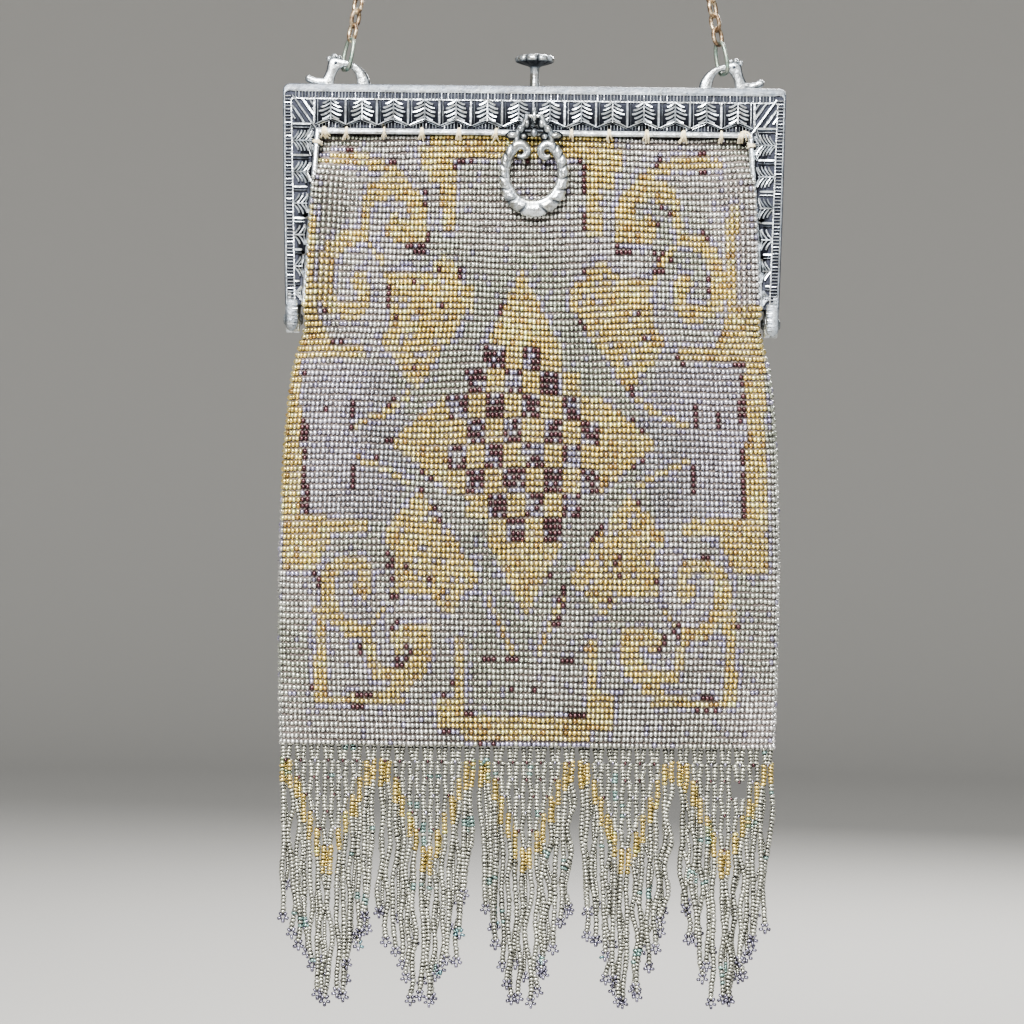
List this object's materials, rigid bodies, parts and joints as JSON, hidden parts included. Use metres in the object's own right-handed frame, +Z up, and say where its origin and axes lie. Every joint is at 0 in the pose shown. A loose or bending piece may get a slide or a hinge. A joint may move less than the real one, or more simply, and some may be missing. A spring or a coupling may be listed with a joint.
{
  "type": "beaded handbag",
  "caption": "Flat beaded purse with a hinged cast metal frame, push clasp, swinging ring pull, chain handle and pointed bead fringe, shown hanging closed.",
  "frame": {"origin": "the point on top of the chain's bend where the chain rests on the hook that holds the purse up", "axes": "+Z up, +X to the right of a viewer who faces the purse, +Y away from that viewer"},
  "size_m": [0.165, 0.0199, 0.6143],
  "materials": {
    "cast_metal": "antiqued cast white metal, dark in the recesses",
    "bright_metal": "worn bright silver",
    "chain_metal": "aged, plating worn off",
    "bead_cloth": "cut steel seed beads knitted in rows",
    "fringe_beads": "cut steel seed beads on threads"
  },
  "bodies": {
    "purse": {"frame_front": "cast_metal", "frame_back": "cast_metal", "hinge_rivet_left": "bright_metal", "hinge_rivet_right": "bright_metal", "pouch": "bead_cloth", "fringe_1": "fringe_beads", "fringe_2": "fringe_beads", "fringe_3": "fringe_beads", "fringe_4": "fringe_beads", "fringe_5": "fringe_beads", "handle_loop_left": "bright_metal", "handle_loop_right": "bright_metal", "end_ring_left": "chain_metal", "end_ring_right": "chain_metal", "handle_chain": "chain_metal", "pull_bail": "bright_metal"},
    "pull": {"drop_pull": "bright_metal"},
    "clasp": {"clasp_knob": "bright_metal"}
  },
  "joints": [
    {"name": "pull_swing", "type": "hinge", "parent": "purse", "child": "pull", "pos_m": [0, -0.0093, -0.3162], "axis": [-1, 0, 0], "range_deg": [0, 110]},
    {"name": "clasp_push", "type": "slide", "parent": "purse", "child": "clasp", "axis": [0, 0, -1], "range_m": [0, 0.0025], "stiffness_N_per_m": 300}
  ]
}
